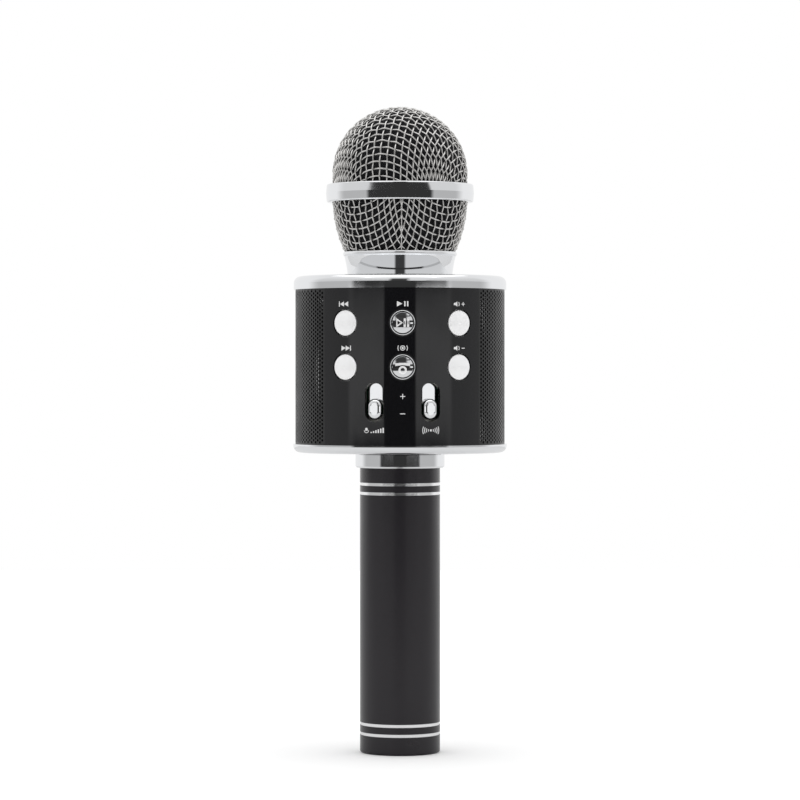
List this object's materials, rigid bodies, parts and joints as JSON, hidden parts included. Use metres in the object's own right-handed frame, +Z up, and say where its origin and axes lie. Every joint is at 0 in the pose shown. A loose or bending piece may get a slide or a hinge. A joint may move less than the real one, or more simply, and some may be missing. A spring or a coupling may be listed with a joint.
{
  "type": "karaoke microphone",
  "caption": "Hand-held karaoke microphone: black tube handle, speaker drum with chrome covers, keys and sliders on a gloss panel, and a woven wire ball head.",
  "frame": {"origin": "centre of the handle's foot, on the surface it stands on", "axes": "+Z up the handle to the head, -Y out through the front panel, +X to the front panel's right"},
  "size_m": [0.081, 0.081, 0.2448],
  "materials": {
    "black_anodised": "satin",
    "black_plastic": "fine grain",
    "gloss_black": "gloss",
    "bright_chrome": "polished",
    "black_grille": "satin",
    "woven_steel": "bright nickel",
    "plated_steel": "plated",
    "speaker_steel": "satin",
    "speaker_cone": "matte",
    "magnet": "matte",
    "switch_black": "matte",
    "green_board": "satin",
    "cell_wrap": "film",
    "soft_rubber": "matte",
    "dark_foam": "open cell foam",
    "lead_jacket": "matte"
  },
  "bodies": {
    "microphone": {"handle_tube": "black_anodised", "end_cap": "black_plastic", "battery_cradle": "black_plastic", "battery_cell": "cell_wrap", "battery_contact": "plated_steel", "battery_spring": "plated_steel", "lower_neck_ring": "bright_chrome", "neck_adapter": "black_plastic", "bottom_cover": "bright_chrome", "top_cover": "bright_chrome", "top_cover_screws": "plated_steel", "inner_screws": "plated_steel", "drum_chassis": "black_plastic", "front_panel": "gloss_black", "rear_panel": "gloss_black", "left_speaker_grille": "black_grille", "right_speaker_grille": "black_grille", "left_speaker_frame": "speaker_steel", "right_speaker_frame": "speaker_steel", "left_speaker_cone": "speaker_cone", "right_speaker_cone": "speaker_cone", "left_speaker_magnet": "magnet", "right_speaker_magnet": "magnet", "key_switches": "switch_black", "control_board": "green_board", "main_board": "green_board", "slide_controls": "plated_steel", "power_switch": "plated_steel", "audio_jack": "black_plastic", "charging_socket": "plated_steel", "card_socket": "plated_steel", "neck_collar": "bright_chrome", "collar_nut": "plated_steel", "lower_grille": "woven_steel", "upper_grille": "woven_steel", "head_ring": "bright_chrome", "capsule_holder": "soft_rubber", "microphone_capsule": "plated_steel", "foam_windscreen": "dark_foam", "battery_leads": "lead_jacket", "speaker_leads": "lead_jacket", "capsule_lead": "lead_jacket"},
    "previous_key": {"previous_button": "bright_chrome", "previous_plunger": "switch_black"},
    "scan_key": {"scan_button": "bright_chrome", "scan_plunger": "switch_black"},
    "volume_up_key": {"volume_up_button": "bright_chrome", "volume_up_plunger": "switch_black"},
    "next_key": {"next_button": "bright_chrome", "next_plunger": "switch_black"},
    "record_key": {"record_button": "bright_chrome", "record_plunger": "switch_black"},
    "volume_down_key": {"volume_down_button": "bright_chrome", "volume_down_plunger": "switch_black"},
    "mic_volume_slider": {"mic_volume_knob": "bright_chrome", "mic_volume_lever": "switch_black"},
    "effect_slider": {"effect_knob": "bright_chrome", "effect_lever": "switch_black"},
    "power_slider": {"power_knob": "black_plastic"}
  },
  "joints": [
    {"name": "previous_press", "type": "slide", "parent": "microphone", "child": "previous_key", "axis": [0.5299, 0.848, 0], "range_m": [0, 0.0003], "stiffness_N_per_m": 1500},
    {"name": "scan_press", "type": "slide", "parent": "microphone", "child": "scan_key", "axis": [0, 1, 0], "range_m": [0, 0.0003], "stiffness_N_per_m": 1500},
    {"name": "volume_up_press", "type": "slide", "parent": "microphone", "child": "volume_up_key", "axis": [-0.5299, 0.848, 0], "range_m": [0, 0.0003], "stiffness_N_per_m": 1500},
    {"name": "next_press", "type": "slide", "parent": "microphone", "child": "next_key", "axis": [0.5299, 0.848, 0], "range_m": [0, 0.0003], "stiffness_N_per_m": 1500},
    {"name": "record_press", "type": "slide", "parent": "microphone", "child": "record_key", "axis": [0, 1, 0], "range_m": [0, 0.0003], "stiffness_N_per_m": 1500},
    {"name": "volume_down_press", "type": "slide", "parent": "microphone", "child": "volume_down_key", "axis": [-0.5299, 0.848, 0], "range_m": [0, 0.0003], "stiffness_N_per_m": 1500},
    {"name": "mic_volume_slide", "type": "slide", "parent": "microphone", "child": "mic_volume_slider", "axis": [0, 0, 1], "range_m": [0, 0.005]},
    {"name": "effect_slide", "type": "slide", "parent": "microphone", "child": "effect_slider", "axis": [0, 0, 1], "range_m": [0, 0.005]},
    {"name": "power_slide", "type": "slide", "parent": "microphone", "child": "power_slider", "axis": [0, 0, 1], "range_m": [0, 0.003]}
  ]
}
